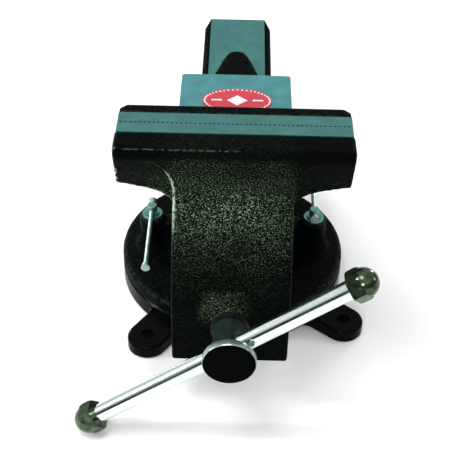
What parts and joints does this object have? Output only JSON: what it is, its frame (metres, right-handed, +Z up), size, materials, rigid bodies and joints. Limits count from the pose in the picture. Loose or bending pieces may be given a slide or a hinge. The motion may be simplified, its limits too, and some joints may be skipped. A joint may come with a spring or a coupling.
{
  "type": "bench vise",
  "caption": "Swivel-base mechanic's bench vise with grooved steel jaw plates, anvil, horn, screw with sliding handle and swivel locks with short bars.",
  "frame": {"origin": "on the swivel axis, in the plane of the bench top", "axes": "+X right seen from the front, +Y back along the screw, +Z up"},
  "size_m": [0.2732, 0.517, 0.2591],
  "materials": {
    "gloss_black": "gloss black enamel on cast iron",
    "black_casting": "black hammered enamel; anvil and slide top machined bright",
    "jaw_steel": "ground steel, vertical grooves on the gripping face",
    "black_steel": "black oxide",
    "nut_iron": "bare machined iron",
    "zinc_steel": "zinc plate",
    "badge_red": "red enamel with a pale dotted rim",
    "screw_steel": "dark oiled steel",
    "handle_chrome": "bright chrome plate"
  },
  "bodies": {
    "base": {"base_plate": "gloss_black"},
    "fixed_jaw": {"fixed_jaw": "black_casting", "rear_jaw_plate": "jaw_steel", "rear_jaw_screws": "black_steel", "spindle_nut": "nut_iron", "nut_bolts": "black_steel", "pivot_bolt": "black_steel", "pivot_washer": "zinc_steel", "badge": "badge_red", "lock_nut_left": "nut_iron", "lock_nut_right": "nut_iron", "lock_washer_left": "zinc_steel", "lock_washer_right": "zinc_steel"},
    "moving_jaw": {"moving_jaw": "black_casting", "front_jaw_plate": "jaw_steel", "front_jaw_screws": "black_steel", "thrust_washer": "zinc_steel", "spring_washer": "zinc_steel"},
    "screw": {"lead_screw": "screw_steel", "take_up_spring": "black_steel", "retaining_collar": "black_steel", "collar_pin": "zinc_steel"},
    "handle": {"handle_bar": "handle_chrome", "handle_cap_left": "handle_chrome", "handle_cap_right": "handle_chrome"},
    "lock_left": {"lock_bolt_left": "zinc_steel"},
    "lock_right": {"lock_bolt_right": "zinc_steel"},
    "lock_bar_left": {"lock_bar_left": "zinc_steel", "lock_knobs_left": "zinc_steel"},
    "lock_bar_right": {"lock_bar_right": "zinc_steel", "lock_knobs_right": "zinc_steel"}
  },
  "joints": [
    {"name": "swivel", "type": "hinge", "parent": "base", "child": "fixed_jaw", "pos_m": [0, 0, 0], "axis": [0, 0, 1], "continuous": true},
    {"name": "jaw_slide", "type": "slide", "parent": "fixed_jaw", "child": "moving_jaw", "axis": [0, -1, 0], "range_m": [0, 0.2001]},
    {"name": "screw_turn", "type": "hinge", "parent": "moving_jaw", "child": "screw", "pos_m": [0, -0.2316, 0.1056], "axis": [0, -1, 0], "range_deg": [0, 9000]},
    {"name": "handle_slide", "type": "slide", "parent": "screw", "child": "handle", "axis": [0.8049, 0, 0.5934], "range_m": [-0.0997, 0.1227]},
    {"name": "lock_left_turn", "type": "hinge", "parent": "fixed_jaw", "child": "lock_left", "pos_m": [-0.084, 0, 0.0765], "axis": [0, 0, -1], "range_deg": [0, 150]},
    {"name": "lock_right_turn", "type": "hinge", "parent": "fixed_jaw", "child": "lock_right", "pos_m": [0.084, 0, 0.0765], "axis": [0, 0, -1], "range_deg": [0, 150]},
    {"name": "lock_left_bar_slide", "type": "slide", "parent": "lock_left", "child": "lock_bar_left", "axis": [0, 1, 0], "range_m": [0, 0.012]},
    {"name": "lock_right_bar_slide", "type": "slide", "parent": "lock_right", "child": "lock_bar_right", "axis": [0, -1, 0], "range_m": [0, 0.017]}
  ],
  "couplings": [
    {"joint": "jaw_slide", "follows": "screw_turn", "m_per_rad": 0.0012732}
  ]
}
